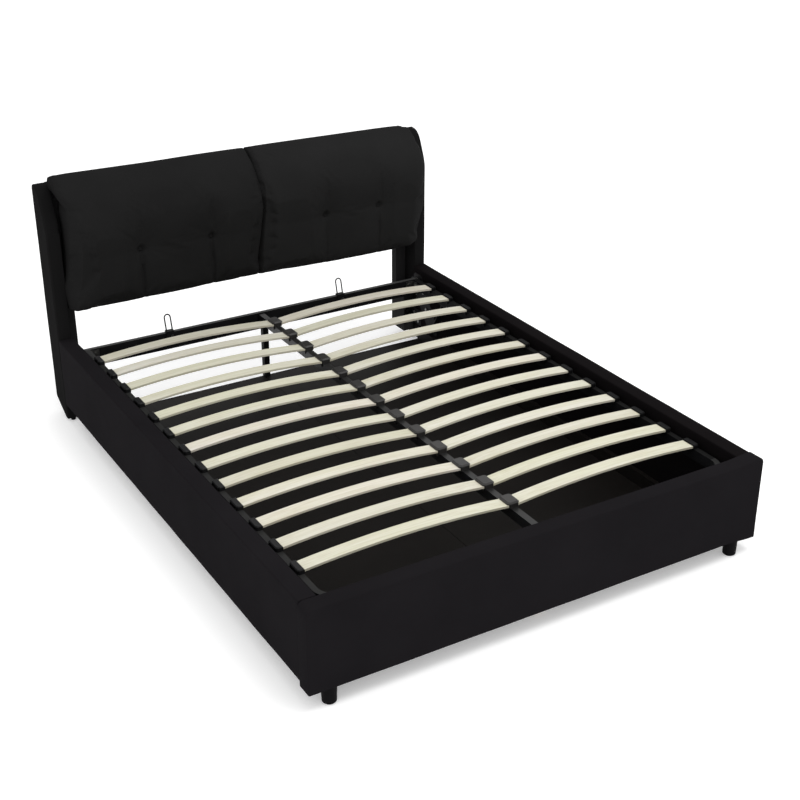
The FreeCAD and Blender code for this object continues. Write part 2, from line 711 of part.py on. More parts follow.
def spring_eye(centre):
    return prism(V(eye_in, centre.y, centre.z), V(1, 0, 0), EYE_R, EYE_T, SPRING_SIDES)


def eye_hole(centre):
    return rod_x(STUD_R + RUN_GAP, stud_in, stud_out, centre.y, centre.z)


cylinder = spring_rod(CYLINDER_R, CYLINDER_START, CYLINDER_END)
bore = spring_rod(CYLINDER_BORE_R, CYLINDER_START + CYLINDER_WALL, CYLINDER_END - CYLINDER_WALL)
cylinder = cylinder.cut(bore)
rod_hole = spring_rod(ROD_R + RUN_GAP, CYLINDER_END - CYLINDER_WALL - BITE, CYLINDER_END + BITE)
cylinder = cylinder.cut(rod_hole)
cylinder = cylinder.fuse(spring_rod(ROD_R, EYE_R - BITE, CYLINDER_START + BITE))
cylinder = cylinder.fuse(spring_eye(low_end)).cut(eye_hole(low_end))
save_pair(cylinder, "gas_cylinder")
rod = spring_rod(ROD_R, ROD_START, closed_length - EYE_R + BITE)
rod = rod.fuse(spring_rod(PISTON_R, ROD_START, ROD_START + PISTON_L))
rod = rod.fuse(spring_eye(top_end)).cut(eye_hole(top_end))
save_pair(rod, "gas_rod")


# Lift-up base: rectangular tubes
def tube(x0, x1, y0, y1, top, way):
    """A rectangular steel tube lying along X or Y, open at both ends."""
    outer = box(x0, x1, y0, y1, TUBE_BOTTOM, top)
    low = TUBE_BOTTOM + TUBE_WALL
    high = top - TUBE_WALL
    if way == "X":
        return outer.cut(box(x0, x1, y0 + TUBE_WALL, y1 - TUBE_WALL, low, high))
    return outer.cut(box(x0 + TUBE_WALL, x1 - TUBE_WALL, y0, y1, low, high))


def bent_plan(inset, z):
    """Plan of the bent foot tube: a shallow U with rounded corners."""
    out = TUBE_OUT - inset
    inn = TUBE_IN + inset
    front = FOOT_TUBE_Y + inset
    rear = FOOT_TUBE_Y + TUBE_W - inset
    r_out = FOOT_BEND_R - inset
    r_in = FOOT_BEND_R - TUBE_W + inset
    turn = 1 - math.sqrt(0.5)
    ends = FOOT_TUBE_LEG
    edges = [
        Part.makeLine(V(-out, ends, z), V(-out, front + r_out, z)),
        Part.Arc(
            V(-out, front + r_out, z),
            V(-out + r_out * turn, front + r_out * turn, z),
            V(-out + r_out, front, z),
        ).toShape(),
        Part.makeLine(V(-out + r_out, front, z), V(out - r_out, front, z)),
        Part.Arc(
            V(out - r_out, front, z),
            V(out - r_out * turn, front + r_out * turn, z),
            V(out, front + r_out, z),
        ).toShape(),
        Part.makeLine(V(out, front + r_out, z), V(out, ends, z)),
        Part.makeLine(V(out, ends, z), V(inn, ends, z)),
        Part.makeLine(V(inn, ends, z), V(inn, rear + r_in, z)),
        Part.Arc(
            V(inn, rear + r_in, z),
            V(inn - r_in * turn, rear + r_in * turn, z),
            V(inn - r_in, rear, z),
        ).toShape(),
        Part.makeLine(V(inn - r_in, rear, z), V(-inn + r_in, rear, z)),
        Part.Arc(
            V(-inn + r_in, rear, z),
            V(-inn + r_in * turn, rear + r_in * turn, z),
            V(-inn, rear + r_in, z),
        ).toShape(),
        Part.makeLine(V(-inn, rear + r_in, z), V(-inn, ends, z)),
        Part.makeLine(V(-inn, ends, z), V(-out, ends, z)),
    ]
    return Part.Face(Part.Wire(edges))


foot_tube = bent_plan(0.0, TUBE_BOTTOM).extrude(V(0, 0, TUBE_H))
foot_hollow = bent_plan(TUBE_WALL, TUBE_BOTTOM + TUBE_WALL).extrude(V(0, 0, TUBE_H - 2 * TUBE_WALL))
save(foot_tube.cut(foot_hollow), "base_foot_tube")
save_pair(tube(TUBE_IN, TUBE_OUT, FOOT_TUBE_LEG, HEAD_TUBE_Y, TUBE_TOP, "Y"), "base_side_tube")
HEAD_TUBE_REAR = HEAD_TUBE_Y + HEAD_TUBE_D
save(tube(-TUBE_OUT, TUBE_OUT, HEAD_TUBE_Y, HEAD_TUBE_REAR, TUBE_TOP, "X"), "base_head_tube")
centre_half = CENTRE_TUBE_W / 2
centre_tube = tube(-centre_half, centre_half, FOOT_TUBE_Y + TUBE_W, HEAD_TUBE_Y, CENTRE_TUBE_TOP, "Y")
save(centre_tube, "base_centre_tube")

# Hinge arms on the side tubes, upper spring studs, corner angles
arm = plate_yz(ARM, ARM_IN, ARM_OUT)
arm = arm.cut(rod_x(PIVOT_R + RUN_GAP, pin_in, pin_out, HINGE_Y, HINGE_Z))
save_pair(arm, "hinge_arm")
top_stud = head_x(STUD_HEAD_R, ARM_OUT, stud_in, top_y, top_z)
top_stud = top_stud.fuse(rod_x(STUD_R, stud_in, stud_out, top_y, top_z))
top_stud = top_stud.fuse(head_x(STUD_HEAD_R, stud_out, stud_out + STUD_HEAD_T, top_y, top_z))
save(both([top_stud.removeSplitter()]), "spring_studs_upper")
angle_low = TUBE_BOTTOM + (TUBE_H - ANGLE_H) / 2
angle_high = angle_low + ANGLE_H
angle = box(TUBE_IN - ANGLE_LEG, TUBE_IN, HEAD_TUBE_Y - PLATE_T, HEAD_TUBE_Y, angle_low, angle_high)
angle = angle.fuse(
    box(TUBE_IN - PLATE_T, TUBE_IN, HEAD_TUBE_Y - ANGLE_LEG, HEAD_TUBE_Y, angle_low, angle_high)
).removeSplitter()
base_bolts = []
angle_middle = (angle_low + angle_high) / 2
base_bolts.append(bolt(V(TUBE_IN - ANGLE_LEG + BOLT_FROM_EDGE, HEAD_TUBE_Y - PLATE_T, angle_middle), OUTWARD))
base_bolts.append(bolt(V(TUBE_IN - PLATE_T, HEAD_TUBE_Y - ANGLE_LEG + BOLT_FROM_EDGE, angle_middle), INWARD))
save(both([angle]), "base_corner_angles")
for y in ARM_BOLT_Y:
    base_bolts.append(bolt(V(ARM_OUT, y, HINGE_Z), V(1, 0, 0)))
save(both(base_bolts), "base_bolts")


# Slats: bowed laths, their ends held in plastic caps
def slat(y):
    front = y - SLAT_W / 2
    inner = V(SLAT_INNER, front, SLAT_INNER_Z)
    outer = V(SLAT_OUTER, front, SLAT_OUTER_Z)
    crown = (inner + outer) * 0.5 + V(0, 0, SLAT_RISE)
    up = V(0, 0, SLAT_T)
    edges = [
        Part.Arc(inner, crown, outer).toShape(),
        Part.makeLine(outer, outer + up),
        Part.Arc(outer + up, crown + up, inner + up).toShape(),
        Part.makeLine(inner + up, inner),
    ]
    return Part.Face(Part.Wire(edges)).extrude(V(0, SLAT_W, 0))


CAP_HALF = SLAT_W / 2 + CAP_WALL
SLOT_HALF = SLAT_W / 2 + CAP_SLOT_SIDE


def edge_cap(y):
    """Cap on the side tube: slot for the slat end, tongue under it, lip over the tube's inner face."""
    base = TUBE_TOP + CAP_CLEAR
    inn, out = EDGE_CAP
    lip_in, lip_out = EDGE_CAP_LIP
    y0 = y - CAP_HALF
    y1 = y + CAP_HALF
    cut = EDGE_CAP_CORNER
    points = [(inn, y0), (out - cut, y0), (out, y0 + cut), (out, y1 - cut), (out - cut, y1), (inn, y1)]
    body = block_xy(points, base, EDGE_CAP_TOP)
    body = body.makeChamfer(EDGE_CAP_EDGE, edges_at(body, "Z", EDGE_CAP_TOP))
    slot_low = SLAT_OUTER_Z - CAP_SLOT_UNDER
    slot = box(inn - 1.0, SLAT_OUTER + 1.0, y - SLOT_HALF, y + SLOT_HALF, slot_low, slot_low + CAP_SLOT_H)
    tongue = box(lip_in, inn, y - CAP_LIP_HALF, y + CAP_LIP_HALF, base, slot_low)
    lip = box(lip_in, lip_out, y - CAP_LIP_HALF, y + CAP_LIP_HALF, base - CAP_LIP_DROP, base)
    return body.cut(slot).fuse([tongue, lip]).removeSplitter()


def centre_cap(y):
    """Double cap on the centre tube: rounded top, a slot each side, lips astride the tube."""
    base = CENTRE_TUBE_TOP + CAP_CLEAR
    half = CENTRE_CAP_HALF
    y0 = y - CAP_HALF
    y1 = y + CAP_HALF
    cut = CENTRE_CAP_CORNER
    points = [
        (-half + cut, y0), (half - cut, y0), (half, y0 + cut), (half, y1 - cut),
        (half - cut, y1), (-half + cut, y1), (-half, y1 - cut), (-half, y0 + cut),
    ]
    body = block_xy(points, base, CENTRE_CAP_TOP)
    body = body.makeChamfer(CENTRE_CAP_EDGE, edges_at(body, "Z", CENTRE_CAP_TOP))
    slot_low = SLAT_INNER_Z - CAP_SLOT_UNDER
    slot = box(SLAT_INNER - 1.0, half + 1.0, y - SLOT_HALF, y + SLOT_HALF, slot_low, slot_low + CAP_SLOT_H)
    lip_in = centre_half + CAP_LIP_GAP
    lip = box(
        lip_in, lip_in + CAP_WALL, y - CAP_LIP_HALF, y + CAP_LIP_HALF,
        base - CAP_LIP_DROP, slot_low,
    )
    return body.cut([slot, mirrored(slot)]).fuse([lip, mirrored(lip)]).removeSplitter()


slat_rows = [SLAT_FIRST_Y + i * SLAT_PITCH for i in range(SLAT_COUNT)]
save_pair(Part.Compound([slat(y) for y in slat_rows]), "slats")
save_pair(Part.Compound([edge_cap(y) for y in slat_rows]), "edge_caps")
save(Part.Compound([centre_cap(y) for y in slat_rows]), "centre_caps")

# Mattress stops: bent wire, leaning back, in a clamp over the front edge of the head tube
STOP_Y = HEAD_TUBE_Y + HEAD_TUBE_D / 2
CLAMP_TOP = TUBE_TOP + CLAMP_T
CLAMP_FRONT = HEAD_TUBE_Y - CLAMP_FRONT_T


def wire_ring(point, out):
    """Outline of the wire at a point of its path; out points away from the middle of the bend."""
    corners = []
    for i in range(STOP_WIRE_SIDES):
        turn = 2 * math.pi * i / STOP_WIRE_SIDES
        corners.append(point + out * (STOP_WIRE_R * math.cos(turn)) + V(0, STOP_WIRE_R * math.sin(turn), 0))
    return corners


def stop(x):
    """A hairpin of wire from the clamp's top up, round a half circle and down again."""
    middle = V(x, STOP_Y, STOP_TOP - STOP_WIRE_R - STOP_HALF)
    to_foot = V(0, 0, TUBE_TOP - middle.z)
    rings = [wire_ring(middle + V(-STOP_HALF, 0, 0) + to_foot, V(-1, 0, 0))]
    for i in range(STOP_BEND_STEPS + 1):
        turn = math.pi * i / STOP_BEND_STEPS
        out = V(-math.cos(turn), 0, math.sin(turn))
        rings.append(wire_ring(middle + out * STOP_HALF, out))
    rings.append(wire_ring(middle + V(STOP_HALF, 0, 0) + to_foot, V(1, 0, 0)))
    wire = skin(rings)
    wire.rotate(V(x, STOP_Y, CLAMP_TOP), V(1, 0, 0), -STOP_LEAN)
    below = box(
        x - CLAMP_W, x + CLAMP_W,
        HEAD_TUBE_Y - CLAMP_W, HEAD_TUBE_Y + 2 * CLAMP_W, TUBE_BOTTOM, CLAMP_TOP,
    )
    return wire.cut(below)


def clamp_bolt_spot(x):
    return V(x + STOP_HALF / 2, CLAMP_FRONT, TUBE_TOP - CLAMP_DROP / 2)


def clamp(x):
    """An angle over the front edge of the head tube."""
    x0 = x - CLAMP_W / 2
    x1 = x + CLAMP_W / 2
    top = box(x0, x1, CLAMP_FRONT, HEAD_TUBE_REAR, TUBE_TOP, CLAMP_TOP)
    face = box(x0, x1, CLAMP_FRONT, HEAD_TUBE_Y, TUBE_TOP - CLAMP_DROP, TUBE_TOP)
    return top.fuse(face).removeSplitter()


stop_places = (STOP_X_LEFT, STOP_X_RIGHT)
save(stop(STOP_X_LEFT), "mattress_stop_left")
save(stop(STOP_X_RIGHT), "mattress_stop_right")
save(Part.Compound([clamp(x) for x in stop_places]), "stop_clamps")
save(Part.Compound([bolt(clamp_bolt_spot(x), OUTWARD) for x in stop_places]), "stop_bolts")
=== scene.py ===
import math

import bmesh
import bpy
import numpy as np
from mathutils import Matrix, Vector, noise


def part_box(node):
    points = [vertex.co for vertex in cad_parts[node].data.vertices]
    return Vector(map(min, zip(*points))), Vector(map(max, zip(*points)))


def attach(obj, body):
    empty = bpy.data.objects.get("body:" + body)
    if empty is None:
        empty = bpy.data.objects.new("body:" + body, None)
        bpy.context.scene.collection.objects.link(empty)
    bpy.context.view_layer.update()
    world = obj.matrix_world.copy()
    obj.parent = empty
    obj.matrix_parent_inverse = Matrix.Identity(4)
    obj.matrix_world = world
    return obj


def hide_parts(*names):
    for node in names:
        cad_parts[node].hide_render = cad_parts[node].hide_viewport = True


# Looks of an upholstered storage bed with a lift-up slatted base.
# Metres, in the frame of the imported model: +Z up, the head of the bed towards +Y.

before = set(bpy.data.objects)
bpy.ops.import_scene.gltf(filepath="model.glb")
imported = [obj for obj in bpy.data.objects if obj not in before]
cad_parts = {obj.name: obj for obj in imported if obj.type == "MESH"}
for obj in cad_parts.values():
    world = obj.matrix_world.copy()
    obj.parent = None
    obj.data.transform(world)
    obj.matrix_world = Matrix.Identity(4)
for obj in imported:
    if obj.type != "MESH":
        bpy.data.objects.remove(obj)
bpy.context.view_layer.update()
scene = bpy.context.scene


def tenth(value):
    """A length in metres, rounded to a tenth of a millimetre."""
    return round(value, 4)


# Viewpoint
EYE = (-2.2702, -4.0297, 2.5997)
VIEW_AZIMUTH = -30.7059
VIEW_ELEVATION = 26.2856
LENS = 61.94
SENSOR = 36.0

# Studio
WHITE = (1.0, 1.0, 1.0, 1.0)
WORLD_STRENGTH = 1.0
KEY_PLACE = (0.6, -1.7, 5.6)
KEY_AIM = (0.0, 0.2, 0.3)
KEY_SIZE = 3.8
KEY_POWER = 135.0
FLOOR_HALF = 30.0
FLOOR_TONE = 0.9
FLOOR_ROUGHNESS = 0.9
FLOOR_GLOW = 0.28

# Slats: rows and arch, as the grain, tone and plies of each slat are told by its place
SLAT_ROWS = 13
SLAT_W = 0.053
SLAT_T = 0.008
SLAT_END_Z = 0.3265
SLAT_RISE = 0.0203
SLAT_PLIES = 5
slat_low, slat_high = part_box("slats_right")
SLAT_FIRST_Y = tenth(slat_low.y + SLAT_W / 2)
SLAT_PITCH = tenth((slat_high.y - slat_low.y - SLAT_W) / (SLAT_ROWS - 1))
SLAT_MIDDLE = tenth((slat_low.x + slat_high.x) / 2)
SLAT_HALF = tenth((slat_high.x - slat_low.x) / 2)
SLAT_EDGE_LEAST = 0.6
SLAT_SIDE_STEP = 31.0
SLAT_GRAIN_STEP = 3.7
SLAT_TONES = [
    (0.0, (0.57, 0.56, 0.47)),
    (0.35, (0.64, 0.63, 0.57)),
    (0.65, (0.60, 0.60, 0.50)),
    (1.0, (0.66, 0.63, 0.58)),
]
GLUE_TONE = (0.40, 0.34, 0.24, 1.0)

# Headboard cushions: mesh, filling and the cloth that is blown up
CUSHION_VOXEL = 0.006
CUSHION_START_INSET = 0.006
CUSHION_CAP = 0.012
CUSHION_FRAMES = 20
CLOTH = {
    "quality": 4,
    "mass": 0.3,
    "tension_stiffness": 12.0,
    "compression_stiffness": 12.0,
    "shear_stiffness": 4.0,
    "bending_stiffness": 1.5,
    "use_pressure": True,
    "uniform_pressure_force": 3.0,
}
HELD_LEAST = 0.05
BACK_DEPTH = 0.012
BACK_BLEND = 0.010
FACING_LEAST = 0.1
FACING_BLEND = 0.4

# Tufts, the sewn creases below them and a short crease near the top of the left cushion
button_low, button_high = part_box("tuft_buttons")
TUFT_Z = tenth((button_low.z + button_high.z) / 2)
TUFTS = {"left": (-0.518, -0.214), "right": (0.310, 0.568)}
TUFT_PIN_R = 0.016
TUFT_FRONT_DEPTH = 0.05
CREASE_HALF = 0.005
CREASE_DEPTH = {"left": 0.010, "right": 0.004}
CREASE_LEAN = 0.010
CREASE_START = 0.01
CREASE_BLEND = 0.02
CREASE_PIN_LEAST = 0.5
TOP_CREASE = ((-0.540, 1.020), (-0.534, 0.955))
TOP_CREASE_HALF = 0.004
TOP_CREASE_DEPTH = 0.006
TOP_CREASE_FADE = 0.7

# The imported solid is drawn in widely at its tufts; here that valley is filled to a small pit
VALLEY_SPREAD = 0.046
VALLEY_Z = (0.50, 0.545, 0.63, TUFT_Z, 0.785, 0.845, 0.90)
VALLEY_SHARE = (0.35, 0.65, 0.8, 1.0, 0.45, 0.1, 0.0)
VALLEY_FILL = 0.023
PIT_R = 0.013
PIT_DEPTH = 0.017

# Outer ends of the cushions: moved forward, aside by height and down, the upper corner drawn out
END_REACH = 0.13
END_Z = 0.77
END_HALF = 0.13
END_FORWARD = 0.018
END_HEIGHTS = (0.50, 0.56, 0.64, 0.72, 0.80, 0.88, 0.92, 0.97)
END_SHIFTS = {
    "left": (-0.003, -0.004, 0.014, 0.021, 0.022, 0.021, 0.020, 0.0),
    "right": (0.006, 0.009, 0.022, 0.026, 0.018, 0.008, 0.004, 0.0),
}
END_DROP = {"left": 0.008, "right": 0.0}
END_DROP_Z = 0.58
END_DROP_BLEND = 0.07
EAR_OUT = {"left": -0.014, "right": 0.0}
EAR_Z = 0.93
EAR_BLEND = 0.07
WING_CLEARANCE = 0.003
WING_FRONT = tenth(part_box("headboard_wing_right")[0].y - WING_CLEARANCE)
WING_FRONT_BLEND = 0.05

# Inner ends of the cushions: the left one lies over the edge of the right one; both are smoothed there
left_cushion_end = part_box("headboard_cushion_left")[1].x
right_cushion_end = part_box("headboard_cushion_right")[0].x
GAP_X = tenth((left_cushion_end + right_cushion_end) / 2)
GAP_REACH = 0.09
GAP_FORWARD = {"left": 0.018, "right": 0.010}
GAP_HEIGHTS = (0.50, 0.58, 0.70, 0.80, 0.90, 1.0)
GAP_SHIFTS = {
    "left": (0.0, 0.002, 0.012, 0.014, 0.006, 0.0),
    "right": (-0.012, -0.018, -0.014, -0.004, 0.0, 0.0),
}
GAP_DROP = 0.006
GAP_DROP_REACH = 0.25
CALM_FACTOR = 0.5
CALM_STEPS = 8

# The cushions stand a little higher from the middle of the left one to the right
TOP_RISE = 0.003
TOP_RISE_Z = 0.95
TOP_RISE_BLEND = 0.06
TOP_RISE_X = -0.45
TOP_RISE_X_BLEND = 0.3

# Padded covers: foam edges, rings of faces from the edge inwards, slight unevenness
COVER_STEP = 0.03
COVER_RINGS = (0.12, 0.08, 0.04, 0.015)
COVER_WAVE = 0.0008
LONG_WAVE = 0.22
SHORT_WAVE = 0.08
SHORT_WAVE_SHARE = 0.5
SEED_SHIFT = (17.3, 5.1, 11.7)
EDGE_STEPS = 4
CORNER_STEPS = 6
SMALLEST_R = 0.0005
RAIL_CORNERS = (0.003, 0.003, 0.003, 0.003)
RAIL_EDGE = 0.005
RAIL_SEED = 3.0
FOOT_CORNERS = (0.006, 0.004, 0.020, 0.022)
FOOT_EDGE = 0.005
FOOT_SEED = 8.0
FOOT_WIDER = 0.005

# The right end of the footboard's cover hangs lower and stands higher than the rest
FOOT_END_X = 0.74
FOOT_END_BLEND = 0.12
FOOT_DROP = 0.008
FOOT_RISE = 0.008
FOOT_MIDDLE_Z = 0.21
FOOT_BLEND_Z = 0.12

# Wings of the headboard
WING_VOXEL = 0.005
WING_SEED = 5.0
WING_SLUMP = {"left": 0.0, "right": 0.009}
WING_SLUMP_Z = 0.92
WING_SLUMP_BLEND = 0.05

# Rounded edges of moulded and rolled pieces
BEVELS = {"cap_plastic": 0.003, "tube_steel": 0.002, "slat_wood": 0.0012, "black_steel": 0.001}
BEVEL_STEPS = 3

# Points closer than the weld become one; the tiny length only keeps a division away from zero
WELD = 1e-5
TINY = 1e-9


class Paint:
    """A material under construction: adds nodes and links them."""

    def __init__(self, name):
        self.material = bpy.data.materials.new(name)
        self.material.use_nodes = True
        self.tree = self.material.node_tree
        self.shader = self.tree.nodes["Principled BSDF"]
        self.coordinates = self.node("TexCoord")
        self.place = self.coordinates.outputs["Object"]

    def node(self, kind, values=None, **settings):
        """Adds a node. Values go to its inputs, as links where they are sockets."""
        made = self.tree.nodes.new("ShaderNode" + kind)
        for key, value in settings.items():
            setattr(made, key, value)
        for key, value in (values or {}).items():
            self.feed(made.inputs[key], value)
        return made

    def feed(self, socket, value):
        """Gives an input its value: a link from another socket, or a plain value."""
        if isinstance(value, bpy.types.NodeSocket):
            self.tree.links.new(value, socket)
        else:
            socket.default_value = value

    def set(self, **values):
        """Sets inputs of the surface shader; an underscore in a name stands for a space."""
        for key, value in values.items():
            self.feed(self.shader.inputs[key.replace("_", " ")], value)

    def math(self, operation, *terms):
        """The result of a maths operation on its terms."""
        return self.node("Math", dict(enumerate(terms)), operation=operation).outputs[0]

    def stretched(self, x, y, z):
        """The place on the object, scaled along each axis."""
        return self.node("Mapping", {"Vector": self.place, "Scale": (x, y, z)}).outputs[0]

    def moved(self, vector, shift):
        """The sum of two vectors."""
        return self.node("VectorMath", {0: vector, 1: shift}, operation="ADD").outputs[0]

    def normal(self, axis):
        """The surface normal along one of the object's own axes."""
        return self.node("SeparateXYZ", {0: self.coordinates.outputs["Normal"]}).outputs[axis]

    def noise(self, vector, scale, detail=3.0, roughness=0.55):
        """Smooth noise from 0 to 1."""
        values = {"Vector": vector, "Scale": scale, "Detail": detail, "Roughness": roughness}
        return self.node("TexNoise", values).outputs[0]

    def ramp(self, factor, stops):
        """A colour ramp through (position, colour) stops."""
        made = self.node("ValToRGB", {0: factor})
        points = made.color_ramp.elements
        while len(points) < len(stops):
            points.new(0.5)
        for point, (position, colour) in zip(points, stops):
            point.position = position
            point.color = (*colour, 1.0)
        return made.outputs[0]

    def between(self, factor, low, high):
        """Maps a 0 to 1 factor to the span from low to high."""
        return self.node("MapRange", {0: factor, 3: low, 4: high}).outputs[0]

    def rising(self, value, start, stop):
        """Rises from 0 to 1 as the value goes from start to stop."""
        return self.node("MapRange", {0: value, 1: start, 2: stop}).outputs[0]

    def mix(self, factor, a, b, blend="MIX"):
        """Mixes two colours."""
        made = self.node("Mix", data_type="RGBA", blend_type=blend)
        self.feed(made.inputs[0], factor)
        self.feed(made.inputs[6], a)
        self.feed(made.inputs[7], b)
        return made.outputs[2]

    def bump(self, height, distance, strength):
        """Shades the surface as if it had the given height."""
        values = {"Height": height, "Distance": distance, "Strength": strength}
        self.set(Normal=self.node("Bump", values).outputs[0])


def faux_leather(name, dark, light):
    """Matt black faux leather: fine pebbled grain over soft blotches."""
    paint = Paint(name)
    blotch = paint.noise(paint.place, scale=4.0, detail=4.0)
    paint.set(Base_Color=paint.ramp(blotch, [(0.3, dark), (0.72, light)]))
    pebble = paint.node("TexVoronoi", {"Vector": paint.place, "Scale": 620.0}).outputs[0]
    pores = paint.noise(paint.place, scale=1600.0, detail=2.0)
    crumple = paint.noise(paint.place, scale=38.0)
    grain = paint.math("MULTIPLY_ADD", pores, 0.4, pebble)
    height = paint.math("MULTIPLY_ADD", crumple, 1.6, grain)
    paint.bump(height, distance=0.0003, strength=0.35)
    rubbing = paint.noise(paint.place, scale=90.0)
    paint.set(Roughness=paint.between(rubbing, low=0.55, high=0.7), Specular_IOR_Level=0.002)
    return paint.material


def slat_number(paint, x, y):
    """A number of its own for every slat."""
    from_first = paint.math("SUBTRACT", y, SLAT_FIRST_Y)
    row = paint.math("ROUND", paint.math("DIVIDE", from_first, SLAT_PITCH))
    on_right = paint.math("GREATER_THAN", x, 0.0)
    return paint.math("ADD", paint.math("MULTIPLY", on_right, SLAT_SIDE_STEP), row)


def glue_lines(paint, x, z):
    """Where the lines between the plies show: on the long edges of the slats."""
    from_middle = paint.math("SUBTRACT", paint.math("ABSOLUTE", x), SLAT_MIDDLE)
    along = paint.math("DIVIDE", from_middle, SLAT_HALF)
    fall = paint.math("MULTIPLY", along, along)
    arch = paint.math("MULTIPLY", paint.math("SUBTRACT", 1.0, fall), SLAT_RISE)
    depth = paint.math("SUBTRACT", paint.math("SUBTRACT", z, SLAT_END_Z), arch)
    ply = paint.math("SINE", paint.math("MULTIPLY", depth, 2 * math.pi * SLAT_PLIES / SLAT_T))
    on_edge = paint.math("GREATER_THAN", paint.math("ABSOLUTE", paint.normal("Y")), SLAT_EDGE_LEAST)
    return paint.math("MULTIPLY", on_edge, paint.between(ply, low=0.15, high=0.42))


def slat_wood(name):
    """Pale bent laminate: grain along the slat, each slat its own tone, plies on the edges."""
    paint = Paint(name)
    x, y, z = paint.node("SeparateXYZ", {0: paint.place}).outputs
    slat = slat_number(paint, x, y)
    chance = paint.node("TexWhiteNoise", {"W": slat}, noise_dimensions="1D").outputs["Value"]
    tone = paint.ramp(chance, SLAT_TONES)
    apart = paint.node("CombineXYZ", {0: paint.math("MULTIPLY", slat, SLAT_GRAIN_STEP)}).outputs[0]
    streak_place = paint.moved(paint.stretched(3.0, 150.0, 150.0), apart)
    streaks = paint.noise(streak_place, scale=1.0, detail=5.0, roughness=0.65)
    figure_place = paint.moved(paint.stretched(1.6, 26.0, 26.0), apart)
    figure = paint.noise(figure_place, scale=1.0, detail=2.0)
    veins = paint.ramp(streaks, [(0.32, (0.86, 0.83, 0.77)), (0.6, (1.0, 1.0, 1.0))])
    flames = paint.ramp(figure, [(0.3, (0.93, 0.92, 0.84)), (0.7, (1.0, 0.985, 0.98))])
    veined = paint.mix(1.0, tone, veins, blend="MULTIPLY")
    figured = paint.mix(1.0, veined, flames, blend="MULTIPLY")
    paint.set(Base_Color=paint.mix(glue_lines(paint, x, z), figured, GLUE_TONE))
    paint.set(Roughness=paint.between(streaks, low=0.42, high=0.6), Specular_IOR_Level=0.35)
    paint.bump(streaks, distance=0.0003, strength=0.4)
    return paint.material


def coated_steel(name, tone, gloss, peel, shine, dust_and_highlight):
    """Powder-coated steel: orange peel, slightly rubbed, dust and a painted highlight lying on what faces up.
    """
    paint = Paint(name)
    cloud = paint.noise(paint.place, scale=14.0, detail=5.0)
    lighter = tuple(1.6 * part + 0.002 for part in tone)
    coat = paint.ramp(cloud, [(0.35, tone), (0.8, lighter)])
    # Upward faces turn lighter: partly dust, partly a painted highlight standing in for their lit tops
    lying = paint.rising(paint.normal("Z"), start=0.5, stop=0.95)
    speckle = paint.between(paint.noise(paint.place, scale=45.0, detail=4.0), low=0.7, high=1.0)
    dust_and_highlight_mask = paint.math("MULTIPLY", lying, speckle)
    paint.set(Base_Color=paint.mix(dust_and_highlight_mask, coat, (dust_and_highlight, dust_and_highlight, dust_and_highlight * 0.97, 1.0)))
    rubbing = paint.noise(paint.place, scale=60.0)
    paint.set(Roughness=paint.between(rubbing, gloss - 0.06, gloss + 0.1), Specular_IOR_Level=shine)
    paint.bump(paint.noise(paint.place, scale=900.0, detail=2.0), distance=0.0002, strength=peel)
    return paint.material


def bare_metal(name, tone, gloss, brushed):
    """Plated or polished metal with fine scratches and cloudy patches."""
    paint = Paint(name)
    cloud = paint.noise(paint.place, scale=55.0, detail=4.0)
    duller = tuple(0.78 * part for part in tone)
    paint.set(Base_Color=paint.ramp(cloud, [(0.3, duller), (0.7, tone)]))
    scratches = paint.noise(paint.stretched(90.0, 90.0, 1400.0), scale=1.0)
    paint.set(Roughness=paint.between(cloud, gloss, gloss + 0.14), Metallic=1.0)
    paint.bump(scratches, distance=0.0001, strength=brushed)
    return paint.material


def moulded_plastic(name, tone, gloss, shine):
    """Moulded plastic with a spark-eroded surface and small flow marks."""
    paint = Paint(name)
    flow = paint.noise(paint.place, scale=24.0)
    lighter = tuple(1.35 * part for part in tone)
    paint.set(Base_Color=paint.ramp(flow, [(0.35, tone), (0.7, lighter)]))
    rubbing = paint.noise(paint.place, scale=120.0)
    paint.set(Roughness=paint.between(rubbing, gloss - 0.05, gloss + 0.09), Specular_IOR_Level=shine)
    paint.bump(paint.noise(paint.place, scale=1500.0, detail=2.0), distance=0.0001, strength=0.5)
    return paint.material


def woven_backing(name, tone):
    """Thin black lining cloth with a fine crossed weave."""
    paint = Paint(name)
    threads = []
    for direction in ("X", "Z"):
        values = {"Vector": paint.place, "Scale": 260.0, "Distortion": 0.6}
        threads.append(paint.node("TexWave", values, bands_direction=direction).outputs[1])
    fuzz = paint.noise(paint.place, scale=30.0, detail=4.0)
    lighter = tuple(1.7 * part for part in tone)
    paint.set(Base_Color=paint.ramp(fuzz, [(0.3, tone), (0.75, lighter)]))
    paint.set(Roughness=paint.between(fuzz, low=0.82, high=0.95), Specular_IOR_Level=0.08)
    paint.bump(paint.math("MAXIMUM", *threads), distance=0.0004, strength=0.5)
    return paint.material


def foil_board(name, tone):
    """Dark foil on a thin board: faint wood pore pattern along the bed."""
    paint = Paint(name)
    pores = paint.noise(paint.stretched(160.0, 5.0, 160.0), scale=1.0, detail=4.0, roughness=0.6)
    cloud = paint.noise(paint.place, scale=3.0)
    lighter = tuple(1.5 * part for part in tone)
    grained = paint.ramp(pores, [(0.35, tone), (0.7, lighter)])
    clouded = paint.ramp(cloud, [(0.3, tone), (0.7, lighter)])
    paint.set(Base_Color=paint.mix(0.5, grained, clouded))
    paint.set(Roughness=paint.between(pores, low=0.5, high=0.66), Specular_IOR_Level=0.08)
    paint.bump(pores, distance=0.0002, strength=0.3)
    return paint.material


